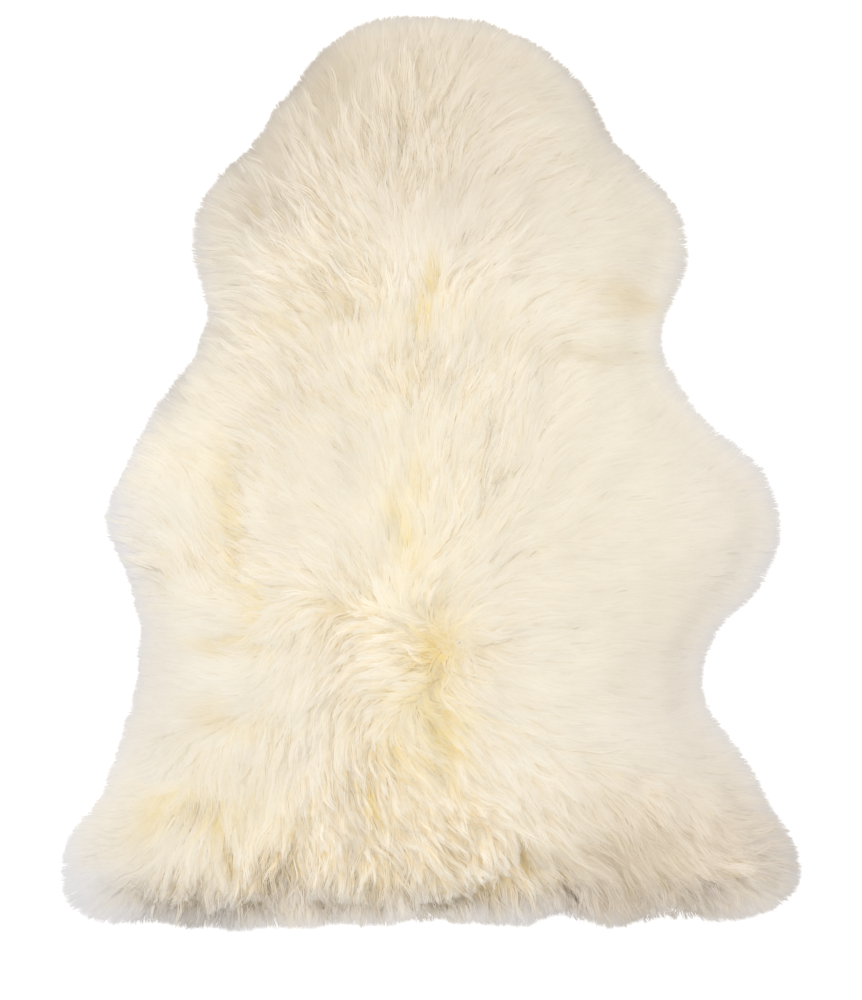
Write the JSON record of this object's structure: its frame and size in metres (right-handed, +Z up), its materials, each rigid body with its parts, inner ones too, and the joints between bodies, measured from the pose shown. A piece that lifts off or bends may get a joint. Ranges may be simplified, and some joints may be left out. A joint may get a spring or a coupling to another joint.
{
  "type": "sheepskin rug",
  "caption": "One-piece sheepskin rug lying flat, long ivory wool combed outwards, with a wavy natural outline and tapered locks at its rim.",
  "frame": {"origin": "on the floor under the middle of the rug's box", "axes": "+Z up out of the wool, +Y towards the head end, +X to the right seen from above with the head end away"},
  "size_m": [0.7644, 0.9488, 0.0555],
  "materials": {
    "wool": "long silky wool, combed, ivory with warm yellow roots"
  },
  "bodies": {
    "root": {"sheepskin": "wool"}
  },
  "joints": []
}
